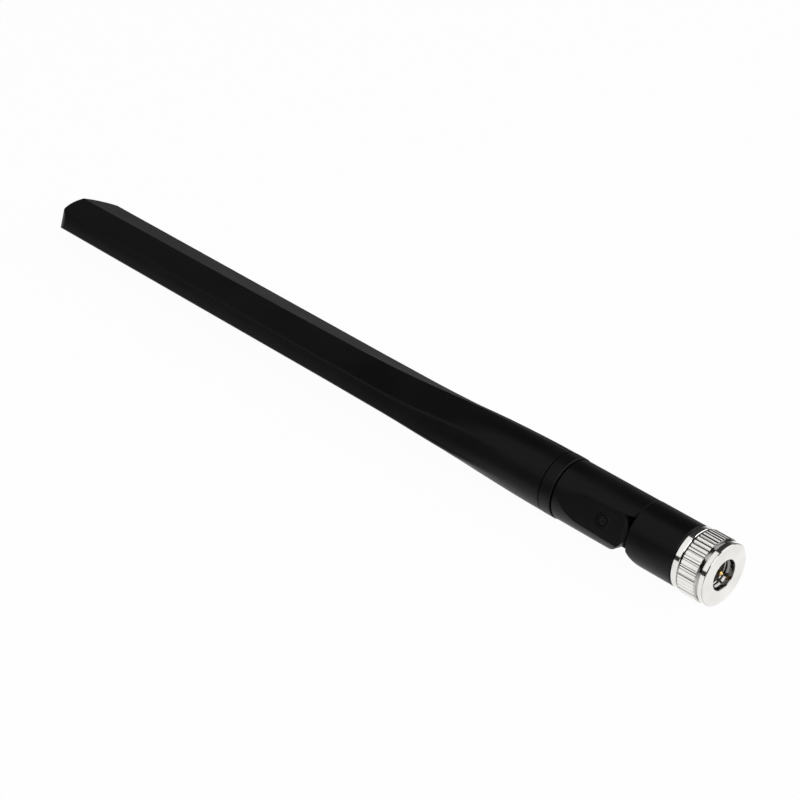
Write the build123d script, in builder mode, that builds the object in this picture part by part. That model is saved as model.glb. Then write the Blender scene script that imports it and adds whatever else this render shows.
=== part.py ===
import math
import os

from build123d import *

# A hinged blade antenna that lies on a table, in millimetres.
# X runs along the antenna. The coupling nut's front face is at x = 0, with its mouth towards +X.
# The blade rests on one of its lower bevels, so everything is turned about X by this angle.
rest_roll = 10.0

# Coupling nut
nut_length = 7.75
nut_ring_r = 6.62
nut_groove_depth = 0.3
nut_groove_width = 0.28
nut_front_groove_depth = 0.5
nut_front_groove_width = 0.5
nut_knurl_r = 6.84
nut_knurl_depth = 0.26
nut_knurl_edge = 0.1
nut_knurl_crown = 0.03
nut_knurl_teeth = 44
nut_front_ring = 1.2
nut_rear_ring = 1.4
nut_edge = 0.2
nut_face_bevel = 0.15
nut_mouth_r = 3.2
nut_mouth_depth = 1.1
nut_mouth_edge = 0.12
thread_crest_r = 2.86
thread_depth = 0.29
thread_pitch = 0.7056
thread_turns = 5
thread_start = 1.5
nut_rear_lip = 1.15
nut_bore_clearance = 0.1

# Nut retaining ring
nut_ring_wire = 0.48
nut_ring_side_clearance = 0.06
nut_ring_depth = 0.45
nut_ring_seat = 0.03
nut_ring_reach = 0.38
nut_ring_gap = 1.6
ring_room_length = 0.8
ring_room_clearance = 0.17

# Connector body
contact_tip = -1.9
contact_outer_r = 2.275
contact_length = 2.2
contact_relief_r = 2.1
contact_wall = 0.215
body_shoulder_r = 2.6
body_shoulder_lead = 0.29
flange_r = 3.8
flange_thickness = 0.8
flange_recess = 0.05
barrel_r = 3.0
barrel_tail = 0.4
body_bore_depth = 9.1
rear_bore_r = 1.6
bore_step_lead = 0.35
stem_r = 0.8
stem_length = 3.6
dielectric_clearance = 0.03

# Contact pin, insulator and gasket
pin_tip = -0.4
pin_front_r = 0.455
pin_rear_r = 0.635
pin_rear_end = -10.4
pin_cup_depth = 1.9
insulator_recess = 0.7
seat_clearance = 0.01
gasket_thickness = 0.68
gasket_width = 0.42
gasket_clearance = 0.05

# Base sleeve and its swivel
nut_gap = 0.15
sleeve_r = 6.55
sleeve_edge = 0.25
swivel_clearance = 0.05
thrust_clearance = 0.1
ledge_thickness = 3.7
ring_pocket_r = 4.0
ring_pocket_length = 2.5
ferrule_pocket_r = 2.4
sleeve_end_wall = 0.65
sleeve_shoulder_length = 5.0
sleeve_shoulder_height = 3.4
sleeve_shoulder_mid_in = 1.85
sleeve_shoulder_mid_up = 1.25

# Swivel snap ring
snap_thickness = 0.42
snap_groove_clearance = 0.04
snap_groove_depth = 0.4
snap_reach = 0.5
snap_seat = 0.02
snap_gap = 2.2

# Crimp ferrule
ferrule_length = 4.4
ferrule_wall = 0.47
ferrule_clearance = 0.03
ferrule_setback = 0.15
ferrule_end_clearance = 0.2
ferrule_edge = 0.12

# Tilt hinge
joint_gap = 0.1
tilt_setback = 6.9
tongue_half_width = 2.8
tongue_r = 4.1
tongue_side_clearance = 0.1
tongue_roof_clearance = 0.4
tongue_root_clearance = 0.5
tongue_overlap = 0.9
cord_channel_half = 1.2
channel_floor_wall = 0.4
ear_end_r = 5.85
ear_cut_top = 3.6
ear_bevel_length = 1.9
ear_bevel_depth = 1.25
knuckle_r = 6.5
knuckle_length = 18.85
knuckle_edge = 0.05
flat_back_h = 5.7
flat_front_h = 5.4
flat_ramp_start = 1.45
flat_ramp_end = 5.95
neck_length = 0.45
neck_r = 5.9
spigot_r = 4.5
spigot_length = 5.9
cord_bore_r = 1.1

# Hinge pins
head_r = 1.65
head_thickness = 0.86
head_clearance = 0.04
head_groove_depth = 0.22
head_dimple_depth = 0.25
shank_r = 1.1
shank_press_clearance = 0.01
shank_running_clearance = 0.05
shank_inner_end = 1.35

# Root collar
collar_r = 6.65
collar_length = 2.9
collar_edge = 0.13
collar_lip_length = 2.5
collar_fit = 0.05
collar_gap = 0.15
collar_lip_room = 0.3

# Blade shell
root_r = 6.62
root_length = 3.35
flare_length = 44.0
blade_length = 99.6
side_half_width = 8.65
corner_half_width = 8.5
corner_half_height = 1.95
tip_ridge_h = 3.32
waist_ridge_h = 4.3
face_crown = 0.02
corner_sharpness = 0.65
tip_end_r = 14.0
tip_corner_r = 3.5
shell_wall = 1.4
side_wall = 3.0
tip_wall = 2.0
cavity_corner_r = 2.0
root_corner_angle = 25.0

# The ridge rises slowly along the blade: share of the blade's length, share of the rise
ridge_rise = [(0.0, 0.0), (0.273, 0.148), (0.576, 0.315), (0.778, 0.5), (0.899, 0.694)]

# The flare turns the blade's section into a circle. Each row gives a share of the flare's length,
# then how far the corner has moved in, the corner up, the side in, the ridge up,
# the faces out and the corner sharp, each from 0 at the blade to 1 at the round root.
flare_blend = [
    (0.0, 0.0, 0.06, 0.0, 0.0, 0.0, 0.0),
    (0.136, 0.03, 0.12, 0.02, 0.139, 0.03, 0.1),
    (0.232, 0.072, 0.25, 0.063, 0.26, 0.05, 0.2),
    (0.343, 0.182, 0.556, 0.18, 0.44, 0.1, 0.32),
    (0.4545, 0.36, 0.93, 0.35, 0.606, 0.2, 0.46),
    (0.568, 0.564, 1.23, 0.55, 0.745, 0.36, 0.64),
    (0.682, 0.775, 1.23, 0.76, 0.848, 0.6, 0.82),
    (0.795, 0.928, 1.11, 0.91, 0.926, 0.81, 0.95),
    (0.909, 0.987, 1.01, 0.974, 0.978, 0.95, 1.0),
    (1.0, 1.0, 1.0, 1.0, 1.0, 1.0, 1.0),
]

# Antenna board, traces, solder and foam pads
board_setback = 23.35
board_length = 106.0
board_half_width = 3.0
board_thickness = 0.6
trace_thickness = 0.07
ground_trace_length = 46.0
trace_setback = 0.3
ground_strip_in = 1.0
ground_strip_out = 2.6
ground_bridge = 1.2
signal_start = 2.4
signal_tip_setback = 5.0
signal_half_width = 0.6
trace_gap = 2.7
signal_arm_half_width = 2.4
ground_solder_half_width = 1.7
ground_solder_length = 1.0
ground_solder_top = 0.95
feed_solder_half_width = 0.55
feed_solder_length = 1.5
feed_solder_top = 0.28
solder_clearance = 0.02
foam_length = 10.0
foam_half_width = 2.0
foam_clearance = 0.01
root_foam_setback = 31.0
root_foam_room = 1.1
tip_foam_setback = 15.0
tip_foam_room = 0.32

# Coaxial cord inside the antenna
conductor_r = 0.15
dielectric_r = 0.43
braid_inner_r = 0.46
braid_r = 0.64
jacket_inner_r = 0.66
jacket_r = 0.9
conductor_reach = 4.0
dielectric_reach = 2.1
braid_reach = 1.2
braid_setback = 0.2
braid_clearance = 0.005
jacket_stop = 4.0
braid_flare_clearance = 0.02
braid_flare_wall = 0.18
jacket_setback = 0.3
conductor_setback = 0.1
dielectric_setback = 0.05

# Places along X, worked out from the nut's front face backwards
ring_room_back = -nut_length + nut_rear_lip
ring_room_front = ring_room_back + ring_room_length
ring_mid = (ring_room_back + ring_room_front) / 2
ring_front = ring_mid + nut_ring_wire / 2
ring_back = ring_mid - nut_ring_wire / 2
ring_groove_front = ring_front + nut_ring_side_clearance
ring_groove_back = ring_back - nut_ring_side_clearance
ring_groove_r = body_shoulder_r - nut_ring_depth
nut_ring_r_out = body_shoulder_r + nut_ring_reach
ring_room_r = nut_ring_r_out + ring_room_clearance
body_shoulder_x = ring_groove_front + body_shoulder_lead
contact_land_end = contact_tip - contact_length
bore_step_x = contact_land_end + bore_step_lead
gasket_inner_r = contact_relief_r + gasket_clearance
sleeve_front = -nut_length - nut_gap
flange_front = sleeve_front - flange_recess
flange_back = flange_front - flange_thickness
ledge_front = flange_back - thrust_clearance
ledge_back = ledge_front - ledge_thickness
snap_front = ledge_back - thrust_clearance
snap_back = snap_front - snap_thickness
snap_groove_front = snap_front + snap_groove_clearance
snap_groove_back = snap_back - snap_groove_clearance
snap_groove_r = barrel_r - snap_groove_depth
barrel_end = snap_groove_back - barrel_tail
stem_end = barrel_end - stem_length
ferrule_front = barrel_end - ferrule_setback
ferrule_back = ferrule_front - ferrule_length
ring_pocket_back = ledge_back - ring_pocket_length
ferrule_pocket_back = ferrule_back - ferrule_end_clearance
sleeve_back = ferrule_pocket_back - sleeve_end_wall
contact_inner_r = contact_outer_r - contact_wall
body_bore_end = contact_tip - body_bore_depth
insulator_face = contact_tip - insulator_recess
dielectric_bore_r = dielectric_r + dielectric_clearance
knuckle_front = sleeve_back - joint_gap
knuckle_back = knuckle_front - knuckle_length
tilt_x = knuckle_front - tilt_setback
slot_root = tilt_x - tongue_r - tongue_root_clearance
slot_roof = tongue_r + tongue_roof_clearance
slot_half_width = tongue_half_width + tongue_side_clearance
ear_bevel_x = knuckle_front - ear_bevel_length
ramp_start_x = knuckle_back + flat_ramp_start
ramp_end_x = knuckle_back + flat_ramp_end
pin_share = (tilt_x - ramp_end_x) / (ear_bevel_x - ramp_end_x)
pin_face_h = flat_back_h + (flat_front_h - flat_back_h) * pin_share
head_floor_h = pin_face_h - head_thickness - head_clearance
collar_front = knuckle_back - neck_length
collar_back = collar_front - collar_length
spigot_back = collar_front - spigot_length
collar_lip_back = collar_back - collar_lip_length
shell_root = collar_back - collar_gap
flare_root = shell_root - root_length
waist_x = flare_root - flare_length
tip_x = waist_x - blade_length
plan_half_width = side_half_width + 0.02
tip_arc_x = tip_x + tip_end_r - math.sqrt(tip_end_r**2 - plan_half_width**2)
lip_bore_r = root_r - shell_wall
collar_lip_r = lip_bore_r - collar_fit
board_root = shell_root - board_setback
board_tip = board_root - board_length
trace_top = -braid_r - braid_clearance
board_drop = trace_thickness - trace_top
trace_root = board_root - trace_setback
ground_tip = trace_root - ground_trace_length
signal_root = board_root - signal_start
signal_tip = board_tip + signal_tip_setback
signal_arm_root = ground_tip - trace_gap
root_foam_top = waist_ridge_h - shell_wall - root_foam_room
tip_foam_top = tip_ridge_h - shell_wall - tip_foam_room
root_foam_x = board_root - root_foam_setback
tip_foam_x = board_tip + tip_foam_setback + foam_length
jacket_front = stem_end - jacket_setback
braid_flare_in = stem_r + braid_flare_clearance
braid_flare_out = braid_flare_in + braid_flare_wall
ferrule_inner_r = braid_flare_out + ferrule_clearance
braid_front = barrel_end - braid_setback
conductor_front = pin_rear_end + pin_cup_depth - conductor_setback
dielectric_front = body_bore_end - dielectric_setback

# Working planes: the blade's own plane, and the upright plane along the antenna facing the near side
roll = math.radians(rest_roll)
blade_normal = Vector(0, math.sin(roll), math.cos(roll))
blade_side = Vector(0, math.cos(roll), -math.sin(roll))
lying = Plane(origin=(0, 0, 0), x_dir=(1, 0, 0), z_dir=blade_normal)
upright = Plane(origin=(0, 0, 0), x_dir=(1, 0, 0), z_dir=-blade_side)
tilt_axis = Axis(origin=(tilt_x, 0, 0), direction=blade_side)


def cross_plane(x):
    """The plane across the antenna at x, with the blade's side and normal as its axes."""
    return Plane(origin=(x, 0, 0), x_dir=blade_side, z_dir=(1, 0, 0))


def along(a, m, b, share):
    """The point a share of the way along the curve through a, m and b."""
    wa = (1 - share) * (1 - 2 * share)
    wm = 4 * share * (1 - share)
    wb = share * (2 * share - 1)
    return (a[0] * wa + m[0] * wm + b[0] * wb, a[1] * wa + m[1] * wm + b[1] * wb)


def section_points(shape, inset, side_inset):
    """The key points of one quarter of the blade's section, from its side to its ridge."""
    corner_y, corner_z, side_y, ridge_z, crown, sharpness = shape
    corner = (corner_y - side_inset, corner_z - inset * 0.5)
    side = (side_y - side_inset, 0.0)
    ridge = (0.0, ridge_z - inset)
    run = corner[0]
    rise = ridge[1] - corner[1]
    length = math.hypot(run, rise)
    face_mid = (run / 2 + crown * rise / length, corner[1] + rise / 2 + crown * run / length)
    side_end = along((corner[0], -corner[1]), side, corner, 0.86)
    face_start = along(corner, face_mid, ridge, 0.07)
    face_half = along(corner, face_mid, ridge, 0.535)
    chord = ((side_end[0] + face_start[0]) / 2, (side_end[1] + face_start[1]) / 2)
    corner_mid = (
        chord[0] + (corner[0] - chord[0]) * sharpness,
        chord[1] + (corner[1] - chord[1]) * sharpness,
    )
    return side, side_end, corner_mid, face_start, face_half, ridge


# The blade's sections: x, the thickness of the side walls, and the section's shape, which is
# corner y, corner z, side y, ridge z, crown and corner sharpness
root_corner = (
    root_r * math.cos(math.radians(root_corner_angle)),
    root_r * math.sin(math.radians(root_corner_angle)),
)
root_crown = root_r * (1 - math.cos(math.radians((90 - root_corner_angle) / 2)))
shell_sections = []
for share, rise in ridge_rise:
    ridge_h = tip_ridge_h + (waist_ridge_h - tip_ridge_h) * rise
    shape = (
        corner_half_width,
        corner_half_height,
        side_half_width,
        ridge_h,
        face_crown,
        corner_sharpness,
    )
    shell_sections.append((tip_x + blade_length * share, side_wall, shape))
for share, corner_in, corner_up, side_in, ridge_up, crown_out, sharp in flare_blend:
    shape = (
        corner_half_width + (root_corner[0] - corner_half_width) * corner_in,
        corner_half_height + (root_corner[1] - corner_half_height) * corner_up,
        side_half_width + (root_r - side_half_width) * side_in,
        waist_ridge_h + (root_r - waist_ridge_h) * ridge_up,
        face_crown + (root_crown - face_crown) * crown_out,
        corner_sharpness + (1 - corner_sharpness) * sharp,
    )
    wall = side_wall + (shell_wall - side_wall) * side_in
    shell_sections.append((waist_x + flare_length * share, wall, shape))
shell_sections.append((shell_root, *shell_sections[-1][1:]))

# Coupling nut: two plain rings, a straight knurl between grooves, a threaded bore and room for its ring
knurl_back = -nut_length + nut_rear_ring + nut_groove_width
knurl_front = -nut_front_ring - nut_front_groove_width
groove_r = nut_ring_r - nut_groove_depth
front_groove_r = nut_ring_r - nut_front_groove_depth
knurl_root_r = nut_knurl_r - nut_knurl_depth
tooth_points = []
for tooth in range(nut_knurl_teeth):
    for share, radius in (
        (0.0, knurl_root_r),
        (0.12, nut_knurl_r - nut_knurl_edge),
        (0.3, nut_knurl_r - nut_knurl_crown),
        (0.5, nut_knurl_r),
        (0.7, nut_knurl_r - nut_knurl_crown),
        (0.88, nut_knurl_r - nut_knurl_edge),
    ):
        angle = 2 * math.pi * (tooth + share) / nut_knurl_teeth
        tooth_points.append((radius * math.cos(angle), radius * math.sin(angle)))
thread_points = []
for thread_turn in range(thread_turns):
    crest_x = -thread_start - thread_turn * thread_pitch
    thread_points += [
        (crest_x - 0.08 * thread_pitch, thread_crest_r),
        (crest_x - 0.44 * thread_pitch, thread_crest_r + thread_depth),
        (crest_x - 0.54 * thread_pitch, thread_crest_r + thread_depth),
        (crest_x - 0.9 * thread_pitch, thread_crest_r),
    ]
with BuildPart() as coupling_nut:
    with BuildSketch(cross_plane(knurl_back)):
        with BuildLine():
            Polyline(*tooth_points, close=True)
        make_face()
    extrude(amount=knurl_front - knurl_back)
    with BuildSketch(lying):
        for end_x, inward in ((knurl_back, 1), (knurl_front, -1)):
            with BuildLine():
                Polyline(
                    (end_x, knurl_root_r - 0.02),
                    (end_x + inward * nut_knurl_depth, nut_knurl_r + 0.02),
                    (end_x, nut_knurl_r + 0.02),
                    close=True,
                )
            make_face()
    revolve(axis=Axis.X, mode=Mode.SUBTRACT)
    with BuildSketch(lying):
        with BuildLine():
            Polyline(
                (-nut_length, 0),
                (-nut_length, nut_ring_r - nut_edge),
                (-nut_length + nut_edge, nut_ring_r),
                (-nut_length + nut_rear_ring - nut_edge / 2, nut_ring_r),
                (-nut_length + nut_rear_ring, nut_ring_r - nut_edge / 2),
                (-nut_length + nut_rear_ring, groove_r),
                (knurl_front, groove_r),
                (knurl_front, front_groove_r),
                (-nut_front_ring, front_groove_r),
                (-nut_front_ring, nut_ring_r - nut_edge / 2),
                (-nut_front_ring + nut_edge / 2, nut_ring_r),
                (-nut_face_bevel, nut_ring_r),
                (0, nut_ring_r - nut_face_bevel),
                (0, 0),
                close=True,
            )
        make_face()
    revolve(axis=Axis.X)
    with BuildSketch(lying):
        with BuildLine():
            Polyline(
                (0, 0),
                (0, nut_mouth_r + nut_mouth_edge),
                (-nut_mouth_edge, nut_mouth_r),
                (-nut_mouth_depth, nut_mouth_r),
                (-nut_mouth_depth - nut_mouth_r + thread_crest_r, thread_crest_r),
                *thread_points,
                (ring_room_front, thread_crest_r),
                (ring_room_front, ring_room_r),
                (ring_room_back, ring_room_r),
                (ring_room_back, body_shoulder_r + nut_bore_clearance),
                (-nut_length, body_shoulder_r + nut_bore_clearance),
                (-nut_length, 0),
                close=True,
            )
        make_face()
    revolve(axis=Axis.X, mode=Mode.SUBTRACT)

# Connector body: outer contact, shoulder with its ring groove, flange, swivel barrel and crimp stem
with BuildPart() as connector_body:
    with BuildSketch(lying):
        with BuildLine():
            Polyline(
                (contact_tip, contact_inner_r),
                (contact_tip, contact_outer_r - 0.08),
                (contact_tip - 0.08, contact_outer_r),
                (contact_land_end, contact_outer_r),
                (contact_land_end, contact_relief_r),
                (body_shoulder_x, contact_relief_r),
                (body_shoulder_x, body_shoulder_r),
                (ring_groove_front, body_shoulder_r),
                (ring_groove_front, ring_groove_r),
                (ring_groove_back, ring_groove_r),
                (ring_groove_back, body_shoulder_r),
                (flange_front, body_shoulder_r),
                (flange_front, flange_r),
                (flange_back, flange_r),
                (flange_back, barrel_r),
                (snap_groove_front, barrel_r),
                (snap_groove_front, snap_groove_r),
                (snap_groove_back, snap_groove_r),
                (snap_groove_back, barrel_r),
                (barrel_end, barrel_r),
                (barrel_end, stem_r),
                (stem_end, stem_r),
                (stem_end, dielectric_bore_r),
                (body_bore_end, dielectric_bore_r),
                (body_bore_end, rear_bore_r),
                (bore_step_x, rear_bore_r),
                (bore_step_x, contact_inner_r),
                close=True,
            )
        make_face()
    revolve(axis=Axis.X)

# Contact pin: a bullet nose, a thicker rear and a solder cup for the cord's conductor
with BuildPart() as centre_pin:
    with BuildSketch(lying):
        with BuildLine():
            Polyline(
                (pin_tip, 0),
                (pin_tip, pin_front_r * 0.3),
                (pin_tip - 0.35, pin_front_r),
                (insulator_face, pin_front_r),
                (insulator_face, pin_rear_r),
                (pin_rear_end, pin_rear_r),
                (pin_rear_end, conductor_r + seat_clearance),
                (pin_rear_end + pin_cup_depth, conductor_r + seat_clearance),
                (pin_rear_end + pin_cup_depth, 0),
                close=True,
            )
        make_face()
    revolve(axis=Axis.X)

# Insulator between the contact pin and the body
with BuildPart() as insulator:
    with BuildSketch(cross_plane(bore_step_x + seat_clearance)):
        Circle(contact_inner_r - seat_clearance)
    extrude(amount=insulator_face - bore_step_x - seat_clearance)
    with BuildSketch(cross_plane(body_bore_end)):
        Circle(rear_bore_r - seat_clearance)
    extrude(amount=insulator_face - body_bore_end)
    with BuildSketch(cross_plane(body_bore_end)):
        Circle(pin_rear_r + seat_clearance)
    extrude(amount=insulator_face - body_bore_end, mode=Mode.SUBTRACT)

# Gasket against the body's shoulder
with BuildPart() as gasket:
    with BuildSketch(cross_plane(body_shoulder_x)):
        Circle(gasket_inner_r + gasket_width)
        Circle(gasket_inner_r, mode=Mode.SUBTRACT)
    extrude(amount=gasket_thickness)

# Split ring that keeps the nut on the body
with BuildPart() as nut_retaining_ring:
    with BuildSketch(cross_plane(ring_back)):
        Circle(nut_ring_r_out)
        Circle(ring_groove_r + nut_ring_seat, mode=Mode.SUBTRACT)
        with Locations((0, -nut_ring_r_out)):
            Rectangle(nut_ring_gap, nut_ring_r_out * 2, mode=Mode.SUBTRACT)
    extrude(amount=nut_ring_wire)

# Split ring that keeps the base sleeve on the barrel
with BuildPart() as swivel_snap_ring:
    with BuildSketch(cross_plane(snap_back)):
        Circle(barrel_r + snap_reach)
        Circle(snap_groove_r + snap_seat, mode=Mode.SUBTRACT)
        with Locations((0, -barrel_r)):
            Rectangle(snap_gap, barrel_r * 2, mode=Mode.SUBTRACT)
    extrude(amount=snap_thickness)

# Crimp ferrule over the cord's braid
with BuildPart() as crimp_ferrule:
    with BuildSketch(cross_plane(ferrule_back)):
        Circle(ferrule_inner_r + ferrule_wall)
        Circle(ferrule_inner_r, mode=Mode.SUBTRACT)
    extrude(amount=ferrule_length)
    chamfer(crimp_ferrule.edges().filter_by(GeomType.CIRCLE).group_by(SortBy.RADIUS)[-1], ferrule_edge)

# Base sleeve: swivel bore, pockets for the rings and the ferrule, rounded shoulder and a hinge tongue
with BuildPart() as base_sleeve:
    with BuildSketch(lying):
        with BuildLine():
            Polyline(
                (sleeve_front, 0),
                (sleeve_front, sleeve_r - sleeve_edge),
                (sleeve_front - sleeve_edge, sleeve_r),
                (sleeve_back + knuckle_edge, sleeve_r),
                (sleeve_back, sleeve_r - knuckle_edge),
                (sleeve_back, 0),
                close=True,
            )
        make_face()
    revolve(axis=Axis.X)
    with BuildSketch(upright):
        with BuildLine():
            Line((sleeve_back, -sleeve_r), (sleeve_back + sleeve_shoulder_length, -sleeve_r))
            ThreePointArc(
                (sleeve_back + sleeve_shoulder_length, -sleeve_r),
                (sleeve_back + sleeve_shoulder_mid_in, -sleeve_r + sleeve_shoulder_mid_up),
                (sleeve_back, -sleeve_r + sleeve_shoulder_height),
            )
            Line((sleeve_back, -sleeve_r + sleeve_shoulder_height), (sleeve_back, -sleeve_r))
        make_face()
    extrude(amount=sleeve_r + 1, both=True, mode=Mode.SUBTRACT)
    with BuildSketch(upright):
        with Locations((tilt_x, 0)):
            Circle(tongue_r)
        with Locations(((tilt_x + sleeve_back + tongue_overlap) / 2, 0)):
            Rectangle(sleeve_back + tongue_overlap - tilt_x, tongue_r * 2)
    extrude(amount=tongue_half_width, both=True)
    with BuildSketch(lying):
        with BuildLine():
            Polyline(
                (sleeve_front, 0),
                (sleeve_front, flange_r + thrust_clearance),
                (ledge_front, flange_r + thrust_clearance),
                (ledge_front, barrel_r + swivel_clearance),
                (ledge_back, barrel_r + swivel_clearance),
                (ledge_back, ring_pocket_r),
                (ring_pocket_back, ring_pocket_r),
                (ring_pocket_back, ferrule_pocket_r),
                (ferrule_pocket_back, ferrule_pocket_r),
                (ferrule_pocket_back, 0),
                close=True,
            )
        make_face()
    revolve(axis=Axis.X, mode=Mode.SUBTRACT)
    with BuildSketch(upright):
        with BuildLine():
            Polyline(
                (tilt_x - tongue_r - 1, cord_channel_half),
                (ferrule_pocket_back + 0.1, cord_channel_half),
                (ferrule_pocket_back + 0.1, -cord_channel_half),
                (ferrule_pocket_back - channel_floor_wall, -tongue_r - 0.5),
                (tilt_x - tongue_r - 1, -tongue_r - 0.5),
                close=True,
            )
        make_face()
    extrude(amount=cord_channel_half, both=True, mode=Mode.SUBTRACT)
    with BuildSketch(upright):
        with Locations((tilt_x, 0)):
            Circle(shank_r + shank_running_clearance)
    extrude(amount=tongue_half_width + 0.5, both=True, mode=Mode.SUBTRACT)

# Hinge knuckle: a fork with a roof, flats that run out, a dark neck and a spigot for the collar
with BuildPart() as hinge_knuckle:
    with BuildSketch(lying):
        with BuildLine():
            Polyline(
                (spigot_back, cord_bore_r),
                (spigot_back, spigot_r),
                (collar_front, spigot_r),
                (collar_front, neck_r),
                (knuckle_back, neck_r),
                (knuckle_back, knuckle_r - knuckle_edge),
                (knuckle_back + knuckle_edge, knuckle_r),
                (knuckle_front - knuckle_edge, knuckle_r),
                (knuckle_front, knuckle_r - knuckle_edge),
                (knuckle_front, cord_bore_r),
                close=True,
            )
        make_face()
    revolve(axis=Axis.X)
    with BuildSketch(upright):
        with BuildLine():
            Polyline(
                (slot_root, slot_roof),
                (knuckle_front + 1, slot_roof),
                (knuckle_front + 1, -knuckle_r - 1),
                (slot_root, -knuckle_r - 1),
                close=True,
            )
        make_face()
    extrude(amount=slot_half_width, both=True, mode=Mode.SUBTRACT)
    with BuildSketch(upright):
        with BuildLine():
            Polyline(
                (tilt_x, ear_cut_top),
                (knuckle_front + 1, ear_cut_top),
                (knuckle_front + 1, -knuckle_r - 1),
                (tilt_x, -knuckle_r - 1),
                close=True,
            )
        make_face()
        with Locations((tilt_x, 0)):
            Circle(ear_end_r, mode=Mode.SUBTRACT)
    extrude(amount=knuckle_r + 1, both=True, mode=Mode.SUBTRACT)
    with BuildSketch(lying):
        for side in (-1, 1):
            with BuildLine():
                Polyline(
                    (ramp_start_x, side * (knuckle_r + 0.02)),
                    (ramp_end_x, side * flat_back_h),
                    (ear_bevel_x, side * flat_front_h),
                    (knuckle_front, side * (flat_front_h - ear_bevel_depth)),
                    (knuckle_front + 1, side * (flat_front_h - ear_bevel_depth)),
                    (knuckle_front + 1, side * (knuckle_r + 1)),
                    (ramp_start_x, side * (knuckle_r + 1)),
                    close=True,
                )
            make_face()
    extrude(amount=knuckle_r + 1, both=True, mode=Mode.SUBTRACT)
    with BuildSketch(upright):
        with Locations((tilt_x, 0)):
            Circle(shank_r + shank_press_clearance)
    extrude(amount=knuckle_r + 1, both=True, mode=Mode.SUBTRACT)
    with BuildSketch(upright.offset(head_floor_h)):
        with Locations((tilt_x, 0)):
            Circle(head_r + head_clearance)
    extrude(amount=knuckle_r, mode=Mode.SUBTRACT)
    with BuildSketch(upright.offset(-head_floor_h)):
        with Locations((tilt_x, 0)):
            Circle(head_r + head_clearance)
    extrude(amount=-knuckle_r, mode=Mode.SUBTRACT)

# Hinge pins: a flush head with a turned ring and a centre dimple, and a short shank
pin_points = [
    (0, shank_inner_end),
    (shank_r - 0.15, shank_inner_end),
    (shank_r, shank_inner_end + 0.15),
    (shank_r, pin_face_h - head_thickness),
    (head_r, pin_face_h - head_thickness),
    (head_r, pin_face_h - 0.1),
    (head_r - 0.1, pin_face_h),
    (head_r * 0.79, pin_face_h),
    (head_r * 0.73, pin_face_h - head_groove_depth),
    (head_r * 0.64, pin_face_h - head_groove_depth),
    (head_r * 0.58, pin_face_h),
    (head_r * 0.2, pin_face_h),
    (0, pin_face_h - head_dimple_depth),
]
with BuildPart() as hinge_pin_near:
    with BuildSketch(lying):
        with BuildLine():
            Polyline(*[(tilt_x + r, -h) for r, h in pin_points], close=True)
        make_face()
    revolve(axis=tilt_axis)
with BuildPart() as hinge_pin_far:
    with BuildSketch(lying):
        with BuildLine():
            Polyline(*[(tilt_x + r, h) for r, h in pin_points], close=True)
        make_face()
    revolve(axis=tilt_axis)

# Root collar: a band on the knuckle's spigot with a lip inside the blade shell
with BuildPart() as root_collar:
    with BuildSketch(lying):
        with BuildLine():
            Polyline(
                (collar_front, spigot_r + collar_fit),
                (collar_front, collar_r - collar_edge),
                (collar_front - collar_edge, collar_r),
                (collar_back + collar_edge, collar_r),
                (collar_back, collar_r - collar_edge),
                (collar_back, collar_lip_r),
                (collar_lip_back, collar_lip_r),
                (collar_lip_back, spigot_r + collar_fit),
                close=True,
            )
        make_face()
    revolve(axis=Axis.X)

# Cavity of the blade shell
with BuildPart() as shell_cavity:
    for x, wall, shape in shell_sections:
        side, side_end, corner_mid, face_start, face_half, ridge = section_points(
            shape, shell_wall, wall
        )
        with BuildSketch(cross_plane(x)):
            with BuildLine():
                for sy, sz in ((1, 1), (-1, 1), (-1, -1), (1, -1)):
                    ThreePointArc(
                        (sy * side_end[0], sz * side_end[1]),
                        (sy * corner_mid[0], sz * corner_mid[1]),
                        (sy * face_start[0], sz * face_start[1]),
                    )
                    ThreePointArc(
                        (sy * face_start[0], sz * face_start[1]),
                        (sy * face_half[0], sz * face_half[1]),
                        (0, sz * ridge[1]),
                    )
                for sy in (1, -1):
                    ThreePointArc(
                        (sy * side_end[0], -side_end[1]),
                        (sy * side[0], 0),
                        (sy * side_end[0], side_end[1]),
                    )
            make_face()
    loft(ruled=True)
    with BuildSketch(lying):
        with Locations(((tip_x + tip_wall + shell_root + 10) / 2, 0)):
            RectangleRounded(
                shell_root + 10 - tip_x - tip_wall,
                (side_half_width - side_wall) * 2 + 0.04,
                cavity_corner_r,
            )
    extrude(amount=root_r + 1, both=True, mode=Mode.INTERSECT)

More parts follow.
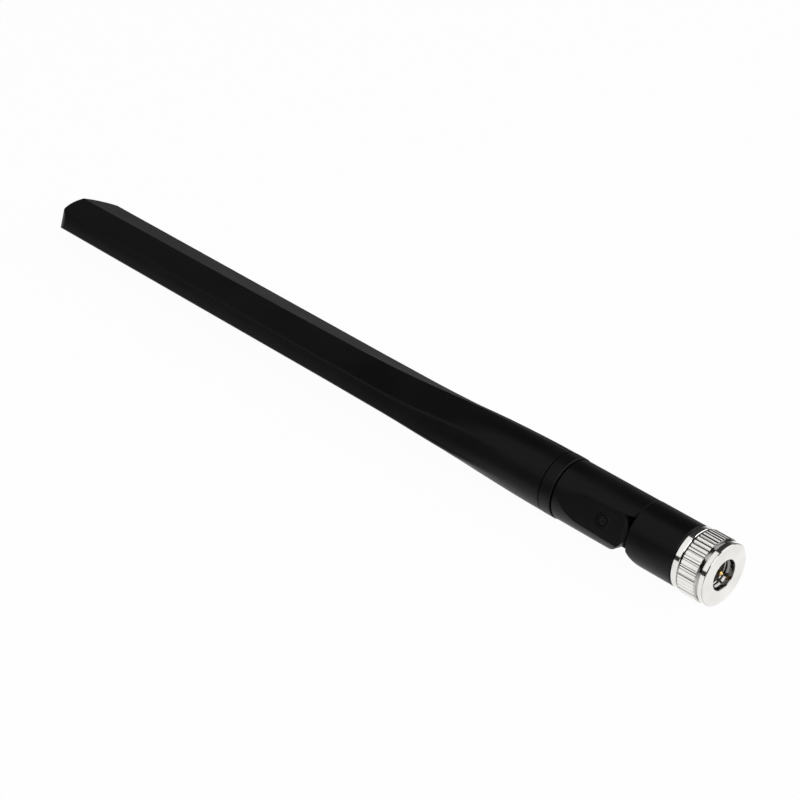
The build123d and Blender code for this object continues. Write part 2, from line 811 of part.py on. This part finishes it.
# Blade shell: a hollow blade with a ridge along both faces, which flares into a round root
with BuildPart() as blade_shell:
    for x, wall, shape in shell_sections:
        side, side_end, corner_mid, face_start, face_half, ridge = section_points(shape, 0, 0)
        with BuildSketch(cross_plane(x)):
            with BuildLine():
                for sy, sz in ((1, 1), (-1, 1), (-1, -1), (1, -1)):
                    ThreePointArc(
                        (sy * side_end[0], sz * side_end[1]),
                        (sy * corner_mid[0], sz * corner_mid[1]),
                        (sy * face_start[0], sz * face_start[1]),
                    )
                    ThreePointArc(
                        (sy * face_start[0], sz * face_start[1]),
                        (sy * face_half[0], sz * face_half[1]),
                        (0, sz * ridge[1]),
                    )
                for sy in (1, -1):
                    ThreePointArc(
                        (sy * side_end[0], -side_end[1]),
                        (sy * side[0], 0),
                        (sy * side_end[0], side_end[1]),
                    )
            make_face()
    loft(ruled=True)
    with BuildSketch(lying):
        with BuildLine():
            ThreePointArc((tip_arc_x, -plan_half_width), (tip_x, 0), (tip_arc_x, plan_half_width))
            Polyline(
                (tip_arc_x, plan_half_width),
                (shell_root + 10, plan_half_width),
                (shell_root + 10, -plan_half_width),
                (tip_arc_x, -plan_half_width),
            )
        plan = make_face()
        fillet(plan.vertices().group_by(Axis.X)[0], tip_corner_r)
    extrude(amount=root_r + 1, both=True, mode=Mode.INTERSECT)
    add(shell_cavity.part, mode=Mode.SUBTRACT)
    with BuildSketch(cross_plane(collar_lip_back - collar_lip_room)):
        Circle(lip_bore_r)
    extrude(amount=shell_root - collar_lip_back + collar_lip_room, mode=Mode.SUBTRACT)

# Antenna board with its ground and signal traces
with BuildPart() as antenna_board:
    with BuildSketch(lying.offset(-board_drop)):
        with Locations(((board_root + board_tip) / 2, 0)):
            Rectangle(board_length, board_half_width * 2)
    extrude(amount=-board_thickness)
with BuildPart() as ground_trace:
    with BuildSketch(lying.offset(-board_drop)):
        with Locations((trace_root - ground_trace_length / 2, 0)):
            Rectangle(ground_trace_length, ground_strip_out * 2)
        with Locations((trace_root - ground_bridge - ground_trace_length / 2, 0)):
            Rectangle(ground_trace_length, ground_strip_in * 2, mode=Mode.SUBTRACT)
    extrude(amount=trace_thickness)
with BuildPart() as signal_trace:
    with BuildSketch(lying.offset(-board_drop)):
        with Locations(((signal_root + signal_tip) / 2, 0)):
            Rectangle(signal_root - signal_tip, signal_half_width * 2)
        with Locations(((signal_arm_root + signal_tip) / 2, 0)):
            Rectangle(signal_arm_root - signal_tip, signal_arm_half_width * 2)
    extrude(amount=trace_thickness)

# Solder at the cord's braid and at its conductor
with BuildPart() as ground_solder:
    with BuildSketch(cross_plane(trace_root - ground_solder_length)):
        with Locations((0, (ground_solder_top + trace_top) / 2)):
            RectangleRounded(
                ground_solder_half_width * 2, ground_solder_top - trace_top, 0.3
            )
        Circle(braid_r + solder_clearance, mode=Mode.SUBTRACT)
    extrude(amount=ground_solder_length)
with BuildPart() as feed_solder:
    with BuildSketch(cross_plane(board_root - conductor_reach - 0.4)):
        with Locations((0, (feed_solder_top + trace_top) / 2)):
            RectangleRounded(feed_solder_half_width * 2, feed_solder_top - trace_top, 0.2)
        Circle(conductor_r + solder_clearance, mode=Mode.SUBTRACT)
    extrude(amount=feed_solder_length)

# Coaxial cord from the crimp through the hinge to the board: conductor, dielectric, braid and jacket
with BuildPart() as cord_conductor:
    with BuildSketch(cross_plane(board_root - conductor_reach)):
        Circle(conductor_r)
    extrude(amount=conductor_front - board_root + conductor_reach)
with BuildPart() as cord_dielectric:
    with BuildSketch(cross_plane(board_root - dielectric_reach)):
        Circle(dielectric_r)
        Circle(conductor_r + seat_clearance, mode=Mode.SUBTRACT)
    extrude(amount=dielectric_front - board_root + dielectric_reach)
with BuildPart() as cord_braid:
    with BuildSketch(lying):
        with BuildLine():
            Polyline(
                (board_root - braid_reach, braid_inner_r),
                (board_root - braid_reach, braid_r),
                (jacket_front - 0.05, braid_r),
                (stem_end - 0.1, braid_flare_out),
                (braid_front, braid_flare_out),
                (braid_front, braid_flare_in),
                (stem_end - 0.03, braid_flare_in),
                (jacket_front, braid_inner_r),
                close=True,
            )
        make_face()
    revolve(axis=Axis.X)
with BuildPart() as cord_jacket:
    with BuildSketch(cross_plane(board_root + jacket_stop)):
        Circle(jacket_r)
        Circle(jacket_inner_r, mode=Mode.SUBTRACT)
    extrude(amount=jacket_front - board_root - jacket_stop)

# Foam pads that steady the board inside the shell
with BuildPart() as foam_pad_root:
    with BuildSketch(lying.offset(trace_top + foam_clearance)):
        with Locations((root_foam_x - foam_length / 2, 0)):
            Rectangle(foam_length, foam_half_width * 2)
    extrude(amount=root_foam_top - trace_top - foam_clearance)
with BuildPart() as foam_pad_tip:
    with BuildSketch(lying.offset(trace_top + foam_clearance)):
        with Locations((tip_foam_x - foam_length / 2, 0)):
            Rectangle(foam_length, foam_half_width * 2)
    extrude(amount=tip_foam_top - trace_top - foam_clearance)

os.makedirs("parts", exist_ok=True)
coupling_nut.part.label = "coupling_nut"
export_step(coupling_nut.part, "parts/coupling_nut.step")
connector_body.part.label = "connector_body"
export_step(connector_body.part, "parts/connector_body.step")
centre_pin.part.label = "centre_pin"
export_step(centre_pin.part, "parts/centre_pin.step")
insulator.part.label = "insulator"
export_step(insulator.part, "parts/insulator.step")
gasket.part.label = "gasket"
export_step(gasket.part, "parts/gasket.step")
nut_retaining_ring.part.label = "nut_retaining_ring"
export_step(nut_retaining_ring.part, "parts/nut_retaining_ring.step")
swivel_snap_ring.part.label = "swivel_snap_ring"
export_step(swivel_snap_ring.part, "parts/swivel_snap_ring.step")
crimp_ferrule.part.label = "crimp_ferrule"
export_step(crimp_ferrule.part, "parts/crimp_ferrule.step")
base_sleeve.part.label = "base_sleeve"
export_step(base_sleeve.part, "parts/base_sleeve.step")
hinge_knuckle.part.label = "hinge_knuckle"
export_step(hinge_knuckle.part, "parts/hinge_knuckle.step")
hinge_pin_near.part.label = "hinge_pin_near"
export_step(hinge_pin_near.part, "parts/hinge_pin_near.step")
hinge_pin_far.part.label = "hinge_pin_far"
export_step(hinge_pin_far.part, "parts/hinge_pin_far.step")
root_collar.part.label = "root_collar"
export_step(root_collar.part, "parts/root_collar.step")
blade_shell.part.label = "blade_shell"
export_step(blade_shell.part, "parts/blade_shell.step")
antenna_board.part.label = "antenna_board"
export_step(antenna_board.part, "parts/antenna_board.step")
ground_trace.part.label = "ground_trace"
export_step(ground_trace.part, "parts/ground_trace.step")
signal_trace.part.label = "signal_trace"
export_step(signal_trace.part, "parts/signal_trace.step")
ground_solder.part.label = "ground_solder"
export_step(ground_solder.part, "parts/ground_solder.step")
feed_solder.part.label = "feed_solder"
export_step(feed_solder.part, "parts/feed_solder.step")
cord_conductor.part.label = "cord_conductor"
export_step(cord_conductor.part, "parts/cord_conductor.step")
cord_dielectric.part.label = "cord_dielectric"
export_step(cord_dielectric.part, "parts/cord_dielectric.step")
cord_braid.part.label = "cord_braid"
export_step(cord_braid.part, "parts/cord_braid.step")
cord_jacket.part.label = "cord_jacket"
export_step(cord_jacket.part, "parts/cord_jacket.step")
foam_pad_root.part.label = "foam_pad_root"
export_step(foam_pad_root.part, "parts/foam_pad_root.step")
foam_pad_tip.part.label = "foam_pad_tip"
export_step(foam_pad_tip.part, "parts/foam_pad_tip.step")
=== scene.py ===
import math

import bpy
from mathutils import Matrix, Vector


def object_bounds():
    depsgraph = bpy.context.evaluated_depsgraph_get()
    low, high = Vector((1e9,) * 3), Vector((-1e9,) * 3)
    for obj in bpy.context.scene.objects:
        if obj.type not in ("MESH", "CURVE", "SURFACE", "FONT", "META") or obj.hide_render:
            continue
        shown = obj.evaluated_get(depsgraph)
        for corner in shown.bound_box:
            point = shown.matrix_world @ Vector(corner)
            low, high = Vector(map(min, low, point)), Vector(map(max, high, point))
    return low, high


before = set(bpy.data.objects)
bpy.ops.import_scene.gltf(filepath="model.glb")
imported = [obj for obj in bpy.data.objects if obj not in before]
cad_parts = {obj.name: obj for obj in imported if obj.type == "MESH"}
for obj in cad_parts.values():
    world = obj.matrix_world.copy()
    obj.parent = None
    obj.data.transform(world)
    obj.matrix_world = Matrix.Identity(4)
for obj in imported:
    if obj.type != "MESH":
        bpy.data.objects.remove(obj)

cad_low, cad_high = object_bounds()

# Colours and sizes, in metres
FLOOR_Z = cad_low[2]
CAMERA_AT = Vector((0.223204, -0.357890, 0.257924))
CAMERA_TO = Vector((-0.214971, 0.150414, -0.110898))
CAMERA_UP = Vector((0.0, -0.15299, 0.98823))
LENS = 117.0
FLOOR_SHARE = 0.97
# Painted reflection: how brightly the floor glows in reflections, dim beside the base, less dim beside the blade,
# bright under and ahead of the antenna
PAINTED_REFLECTION_DIM_BASE = 0.10
PAINTED_REFLECTION_DIM_BLADE = 0.28
PAINTED_REFLECTION_BRIGHT = 1.05
HORIZON_NEAR = 0.03
HORIZON_FAR = 0.35
ZENITH = 0.04
# Places along X of the nut's rear groove, front groove bevel and face edge, where painted shade darkens the plating
NUT_GROOVES = ((-0.00637, -0.00583), (-0.00198, -0.00168), (-0.00017, -0.00003))


def node_tree(name):
    """A new material with an empty node tree, its output and a principled shader."""
    material = bpy.data.materials.new(name)
    material.use_nodes = True
    tree = material.node_tree
    tree.nodes.clear()
    output = tree.nodes.new("ShaderNodeOutputMaterial")
    shader = tree.nodes.new("ShaderNodeBsdfPrincipled")
    tree.links.new(shader.outputs["BSDF"], output.inputs["Surface"])
    return material, tree, shader


def coordinates(tree, scale=(1, 1, 1)):
    """Object coordinates, stretched by a scale."""
    source = tree.nodes.new("ShaderNodeTexCoord")
    mapping = tree.nodes.new("ShaderNodeMapping")
    mapping.inputs["Scale"].default_value = scale
    tree.links.new(source.outputs["Object"], mapping.inputs["Vector"])
    return mapping.outputs["Vector"]


def noise(tree, vector, scale, detail=3.0, roughness=0.5):
    """A noise texture's value."""
    texture = tree.nodes.new("ShaderNodeTexNoise")
    texture.inputs["Scale"].default_value = scale
    texture.inputs["Detail"].default_value = detail
    texture.inputs["Roughness"].default_value = roughness
    tree.links.new(vector, texture.inputs["Vector"])
    return texture.outputs["Fac"]


def spread(tree, value, low, high):
    """The value, 0 to 1, spread between low and high."""
    mapped = tree.nodes.new("ShaderNodeMapRange")
    mapped.inputs["From Min"].default_value = 0.25
    mapped.inputs["From Max"].default_value = 0.75
    mapped.inputs["To Min"].default_value = low
    mapped.inputs["To Max"].default_value = high
    tree.links.new(value, mapped.inputs["Value"])
    return mapped.outputs["Result"]


def span(tree, value, start, end, low, high):
    """A smooth run from low to high as the value goes from start to end."""
    mapped = tree.nodes.new("ShaderNodeMapRange")
    mapped.interpolation_type = "SMOOTHSTEP"
    mapped.inputs["From Min"].default_value = start
    mapped.inputs["From Max"].default_value = end
    mapped.inputs["To Min"].default_value = low
    mapped.inputs["To Max"].default_value = high
    tree.links.new(value, mapped.inputs["Value"])
    return mapped.outputs["Result"]


def math_node(tree, operation, value, second=None):
    """One arithmetic step on a value, with a number or another value."""
    node = tree.nodes.new("ShaderNodeMath")
    node.operation = operation
    tree.links.new(value, node.inputs[0])
    if isinstance(second, float):
        node.inputs[1].default_value = second
    elif second is not None:
        tree.links.new(second, node.inputs[1])
    return node.outputs["Value"]


def bump(tree, shader, height, strength, distance, below=None):
    """Height as a bump on the shader's normal."""
    node = tree.nodes.new("ShaderNodeBump")
    node.inputs["Strength"].default_value = strength
    node.inputs["Distance"].default_value = distance
    tree.links.new(height, node.inputs["Height"])
    if below is not None:
        tree.links.new(below, node.inputs["Normal"])
    tree.links.new(node.outputs["Normal"], shader.inputs["Normal"])
    return node.outputs["Normal"]


def tint(tree, value, dark, light):
    """A colour between dark and light, by the value."""
    ramp = tree.nodes.new("ShaderNodeValToRGB")
    ramp.color_ramp.elements[0].position = 0.3
    ramp.color_ramp.elements[0].color = (*dark, 1)
    ramp.color_ramp.elements[1].position = 0.7
    ramp.color_ramp.elements[1].color = (*light, 1)
    tree.links.new(value, ramp.inputs["Fac"])
    return ramp.outputs["Color"]


def plastic(name, dark, light, rough, grain, depth, specular=0.5):
    """Moulded plastic: a fine satin grain, faint flow marks and uneven gloss."""
    material, tree, shader = node_tree(name)
    vector = coordinates(tree)
    fine = noise(tree, vector, grain, 4.0, 0.6)
    broad = noise(tree, vector, 90.0, 2.0)
    tree.links.new(tint(tree, broad, dark, light), shader.inputs["Base Color"])
    tree.links.new(spread(tree, broad, rough - 0.03, rough + 0.04), shader.inputs["Roughness"])
    shader.inputs["Specular IOR Level"].default_value = specular
    bump(tree, shader, fine, 0.35, depth)
    return material


def turned(tree):
    """Distance along the X axis and from it, so that a pattern runs round the part."""
    source = tree.nodes.new("ShaderNodeTexCoord")
    split = tree.nodes.new("ShaderNodeSeparateXYZ")
    tree.links.new(source.outputs["Object"], split.inputs["Vector"])
    flat = tree.nodes.new("ShaderNodeCombineXYZ")
    tree.links.new(split.outputs["Y"], flat.inputs["Y"])
    tree.links.new(split.outputs["Z"], flat.inputs["Z"])
    radius = tree.nodes.new("ShaderNodeVectorMath")
    radius.operation = "LENGTH"
    tree.links.new(flat.outputs["Vector"], radius.inputs[0])
    joined = tree.nodes.new("ShaderNodeCombineXYZ")
    tree.links.new(split.outputs["X"], joined.inputs["X"])
    tree.links.new(radius.outputs["Value"], joined.inputs["Y"])
    return joined.outputs["Vector"], split.outputs["X"], split.outputs["Z"], radius.outputs["Value"]


def shaded_span(tree, value, start, end, painted_darkening):
    """One plus the painted darkening between start and end along the value, and 1 elsewhere."""
    soft = 0.00003
    rise = span(tree, value, start - soft, start + soft, 0.0, 1.0)
    fall = span(tree, value, end - soft, end + soft, 1.0, 0.0)
    within = math_node(tree, "MULTIPLY", rise, fall)
    return math_node(tree, "ADD", math_node(tree, "MULTIPLY", within, painted_darkening), 1.0)


def turned_metal(name, dark, light, rough, lines, shade=1.0, bore=0.0, grooves=()):
    """Plated metal with turning marks round the X axis, its colour darkened by painted shade in its bore and in its
    grooves, the grooves darker towards the top.
    """
    material, tree, shader = node_tree(name)
    shader.inputs["Metallic"].default_value = 1.0
    around, along, up, radius = turned(tree)
    broad = noise(tree, coordinates(tree), 260.0, 3.0)
    colour = tint(tree, broad, dark, light)
    # Painted shade: the colour is darkened inside the bore
    painted_shade = span(tree, radius, bore, bore + 0.0001, shade, 1.0)
    # Painted shade in the grooves, darker towards the top of the part
    painted_darkening = span(tree, up, 0.0, 0.0025, -0.3, -0.84)
    for start, end in grooves:
        painted_shade = math_node(tree, "MULTIPLY", painted_shade, shaded_span(tree, along, start, end, painted_darkening))
    dim = tree.nodes.new("ShaderNodeVectorMath")
    dim.operation = "SCALE"
    tree.links.new(colour, dim.inputs[0])
    tree.links.new(painted_shade, dim.inputs["Scale"])
    tree.links.new(dim.outputs["Vector"], shader.inputs["Base Color"])
    tree.links.new(spread(tree, broad, rough * 0.8, rough * 1.25), shader.inputs["Roughness"])
    marks = noise(tree, around, 9000.0, 2.0, 0.6)
    bump(tree, shader, marks, lines, 0.000004)
    return material


def metal(name, dark, light, rough, lines=0.0, stretch=(1, 1, 1)):
    """Plated metal: fine turning marks, uneven polish and a little tarnish."""
    material, tree, shader = node_tree(name)
    shader.inputs["Metallic"].default_value = 1.0
    vector = coordinates(tree)
    broad = noise(tree, vector, 260.0, 3.0)
    tree.links.new(tint(tree, broad, dark, light), shader.inputs["Base Color"])
    tree.links.new(spread(tree, broad, rough * 0.75, rough * 1.3), shader.inputs["Roughness"])
    if lines:
        marks = noise(tree, coordinates(tree, stretch), 900.0, 2.0, 0.6)
        bump(tree, shader, marks, lines, 0.00002)
    return material


def set_material(node, material):
    """Gives a CAD node its material."""
    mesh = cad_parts[node].data
    mesh.materials.clear()
    mesh.materials.append(material)


def smooth(node, angle=32.0):
    """Smooth shading that keeps the node's real edges."""
    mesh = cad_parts[node].data
    mesh.polygons.foreach_set("use_smooth", [True] * len(mesh.polygons))
    mesh.set_sharp_from_angle(angle=math.radians(angle))


# Camera
camera = bpy.data.objects.new("camera", bpy.data.cameras.new("camera"))
bpy.context.scene.collection.objects.link(camera)
camera.data.lens = LENS
camera.data.sensor_width = 36.0
camera.data.clip_start = 0.02
camera.data.clip_end = 60.0
forward = (CAMERA_TO - CAMERA_AT).normalized()
right = forward.cross(CAMERA_UP).normalized()
above = right.cross(forward)
camera.matrix_world = Matrix.Translation(CAMERA_AT) @ Matrix((right, above, -forward)).transposed().to_4x4()
bpy.context.scene.camera = camera
bpy.context.scene.view_settings.view_transform = "Standard"

# Materials
black = plastic("black_satin_plastic", (0.003, 0.003, 0.003), (0.0052, 0.0052, 0.0051), 0.42, 2600.0, 0.00003, 0.15)
sleeve_black = plastic("black_base_plastic", (0.003, 0.003, 0.003), (0.0052, 0.0052, 0.0051), 0.4, 2600.0, 0.00002, 0.15)
pin_black = plastic("black_pin_plastic", (0.004, 0.004, 0.004), (0.007, 0.007, 0.0069), 0.38, 3000.0, 0.00001, 0.15)
nickel = metal("nickel_plating", (0.70, 0.69, 0.665), (0.82, 0.80, 0.775), 0.12, 0.3, (6, 1, 1))
# The coupling nut's plating carries painted shade in its bore, its grooves and its face edge
nut_nickel = turned_metal("nut_plating", (0.74, 0.73, 0.71), (0.84, 0.825, 0.80), 0.1, 0.5, 0.3, 0.0033, NUT_GROOVES)
# The connector body's nickel is painted near-black, as painted shade deep inside the nut's bore
plug_nickel_painted_shade = turned_metal("plug_plating_painted_shade", (0.05, 0.046, 0.04), (0.09, 0.083, 0.07), 0.2, 0.5)
gold = metal("gold_plating", (0.55, 0.37, 0.12), (0.7, 0.49, 0.19), 0.2)
bronze = metal("spring_bronze", (0.5, 0.34, 0.18), (0.62, 0.44, 0.26), 0.28, 0.2)
steel = metal("spring_steel", (0.42, 0.42, 0.42), (0.56, 0.56, 0.56), 0.3, 0.2)
copper = metal("etched_copper", (0.62, 0.3, 0.17), (0.8, 0.43, 0.27), 0.33, 0.2)
tin = metal("solder_tin", (0.6, 0.6, 0.6), (0.75, 0.75, 0.75), 0.25)
braid = metal("tinned_braid", (0.35, 0.33, 0.3), (0.66, 0.64, 0.6), 0.35, 0.8, (3, 3, 3))
white = plastic("insulator_white", (0.78, 0.77, 0.73), (0.86, 0.85, 0.82), 0.45, 1500.0, 0.00001)
rubber = plastic("gasket_rubber", (0.012, 0.012, 0.012), (0.03, 0.03, 0.03), 0.6, 1800.0, 0.00003, 0.3)
green = plastic("board_green", (0.015, 0.09, 0.035), (0.025, 0.13, 0.055), 0.25, 900.0, 0.00001)
grey = plastic("jacket_grey", (0.09, 0.09, 0.095), (0.13, 0.13, 0.135), 0.3, 1500.0, 0.00001)
foam = plastic("foam_grey", (0.02, 0.02, 0.021), (0.06, 0.06, 0.062), 0.9, 700.0, 0.0002, 0.1)

finish = {
    "coupling_nut": nut_nickel,
    "connector_body": plug_nickel_painted_shade,
    "centre_pin": gold,
    "insulator": white,
    "gasket": rubber,
    "nut_retaining_ring": bronze,
    "swivel_snap_ring": steel,
    "crimp_ferrule": nickel,
    "base_sleeve": sleeve_black,
    "hinge_knuckle": sleeve_black,
    "hinge_pin_near": pin_black,
    "hinge_pin_far": pin_black,
    "root_collar": black,
    "blade_shell": black,
    "antenna_board": green,
    "ground_trace": copper,
    "signal_trace": copper,
    "ground_solder": tin,
    "feed_solder": tin,
    "cord_conductor": copper,
    "cord_dielectric": white,
    "cord_braid": braid,
    "cord_jacket": grey,
    "foam_pad_root": foam,
    "foam_pad_tip": foam,
}
for node, material in finish.items():
    set_material(node, material)
    smooth(node)

# Floor: pale, seen as white by the camera, with the object's soft shadow kept; in reflections it glows as a painted
# reflection, bright under the antenna and ahead of the nut, dim beside it
floor_mesh = bpy.data.meshes.new("floor")
half = 12.0
floor_mesh.from_pydata(
    [(-half, -half, FLOOR_Z), (half, -half, FLOOR_Z), (half, half, FLOOR_Z), (-half, half, FLOOR_Z)],
    [],
    [(0, 1, 2, 3)],
)
floor = bpy.data.objects.new("floor", floor_mesh)
bpy.context.scene.collection.objects.link(floor)
floor_material, floor_tree, floor_shader = node_tree("pale_floor")
floor_shader.inputs["Base Color"].default_value = (0.9, 0.9, 0.9, 1)
floor_shader.inputs["Roughness"].default_value = 0.9
floor_shader.inputs["Specular IOR Level"].default_value = 0.0
glow = floor_tree.nodes.new("ShaderNodeEmission")
glow.inputs["Color"].default_value = (1, 1, 1, 1)
path = floor_tree.nodes.new("ShaderNodeLightPath")
place = floor_tree.nodes.new("ShaderNodeTexCoord")
split = floor_tree.nodes.new("ShaderNodeSeparateXYZ")
floor_tree.links.new(place.outputs["Object"], split.inputs["Vector"])
# Painted reflection: the floor's glow for glossy rays, bright under the antenna and in a pool ahead of the nut, dim
# beside it
aside = math_node(floor_tree, "ABSOLUTE", split.outputs["Y"])
beside = span(floor_tree, aside, 0.011, 0.028, 0.0, 1.0)
dim = span(floor_tree, split.outputs["X"], -0.11, -0.085, PAINTED_REFLECTION_DIM_BLADE, PAINTED_REFLECTION_DIM_BASE)
under_strength = floor_tree.nodes.new("ShaderNodeMix")
under_strength.data_type = "FLOAT"
under_strength.inputs[2].default_value = PAINTED_REFLECTION_BRIGHT
floor_tree.links.new(beside, under_strength.inputs[0])
floor_tree.links.new(dim, under_strength.inputs[3])
under = under_strength.outputs[0]
slant = math_node(floor_tree, "MULTIPLY", aside, 0.552)
ahead = math_node(floor_tree, "ADD", split.outputs["X"], slant)
pool = span(floor_tree, ahead, -0.009, -0.003, 0.0, 1.0)
painted_pool_strength = floor_tree.nodes.new("ShaderNodeMix")
painted_pool_strength.data_type = "FLOAT"
painted_pool_strength.inputs[3].default_value = PAINTED_REFLECTION_BRIGHT
floor_tree.links.new(pool, painted_pool_strength.inputs[0])
floor_tree.links.new(under, painted_pool_strength.inputs[2])
# Camera rays see the floor evenly white; reflections see the painted glow
strength = floor_tree.nodes.new("ShaderNodeMix")
strength.data_type = "FLOAT"
strength.inputs[3].default_value = 1.0
floor_tree.links.new(path.outputs["Is Camera Ray"], strength.inputs[0])
floor_tree.links.new(painted_pool_strength.outputs[0], strength.inputs[2])
floor_tree.links.new(strength.outputs[0], glow.inputs["Strength"])
seen = floor_tree.nodes.new("ShaderNodeMath")
seen.operation = "MAXIMUM"
floor_tree.links.new(path.outputs["Is Camera Ray"], seen.inputs[0])
floor_tree.links.new(path.outputs["Is Glossy Ray"], seen.inputs[1])
share = floor_tree.nodes.new("ShaderNodeMath")
share.operation = "MULTIPLY"
share.inputs[1].default_value = FLOOR_SHARE
floor_tree.links.new(seen.outputs[0], share.inputs[0])
blend = floor_tree.nodes.new("ShaderNodeMixShader")
floor_tree.links.new(share.outputs[0], blend.inputs["Fac"])
floor_tree.links.new(floor_shader.outputs["BSDF"], blend.inputs[1])
floor_tree.links.new(glow.outputs["Emission"], blend.inputs[2])
floor_output = [n for n in floor_tree.nodes if n.type == "OUTPUT_MATERIAL"][0]
floor_tree.links.new(blend.outputs["Shader"], floor_output.inputs["Surface"])
floor_mesh.materials.append(floor_material)

# Light: a world that is pale at the horizon and dark above, and soft panels
world = bpy.data.worlds.new("studio")
bpy.context.scene.world = world
world.use_nodes = True
sky = world.node_tree
sky_place = sky.nodes.new("ShaderNodeTexCoord")
sky_split = sky.nodes.new("ShaderNodeSeparateXYZ")
sky.links.new(sky_place.outputs["Generated"], sky_split.inputs["Vector"])
sky_level = sky.nodes.new("ShaderNodeMapRange")
sky_level.interpolation_type = "SMOOTHSTEP"
sky_level.inputs["From Min"].default_value = 0.02
sky_level.inputs["From Max"].default_value = 0.4
sky_level.inputs["To Max"].default_value = ZENITH
sky.links.new(sky_split.outputs["Z"], sky_level.inputs["Value"])
sky.links.new(span(sky, sky_split.outputs["Y"], -0.2, 0.2, HORIZON_NEAR, HORIZON_FAR), sky_level.inputs["To Min"])
sky.nodes["Background"].inputs["Color"].default_value = (1, 1, 1, 1)
sky.links.new(sky_level.outputs["Result"], sky.nodes["Background"].inputs["Strength"])


def panel(name, place, target, width, height, radiance, edge=None):
    """A soft rectangular lamp that faces a target, with the radiance of its face."""
    lamp = bpy.data.lights.new(name, "AREA")
    lamp.shape = "RECTANGLE"
    lamp.size = width
    lamp.size_y = height
    lamp.energy = radiance * math.pi * width * height
    holder = bpy.data.objects.new(name, lamp)
    bpy.context.scene.collection.objects.link(holder)
    holder.location = place
    aim = Vector(target) - Vector(place)
    holder.rotation_euler = aim.to_track_quat("-Z", "Y").to_euler()
    if edge is not None:
        back = -aim.normalized()
        up = back.cross(Vector(edge)).normalized()
        axes = Matrix((up.cross(back), up, back)).transposed()
        holder.rotation_euler = axes.to_euler()
    return holder


middle = (-0.09, 0.0, 0.0)
panel("key", (1.0, -0.4, 0.9), middle, 1.1, 1.1, 3.0)
panel("fill", (0.7, 0.8, 0.9), middle, 1.1, 1.1, 2.4)
panel("front_left", (-0.72, -0.59, 0.82), middle, 1.62, 0.62, 1.03, (0.0, -0.83, -0.56))
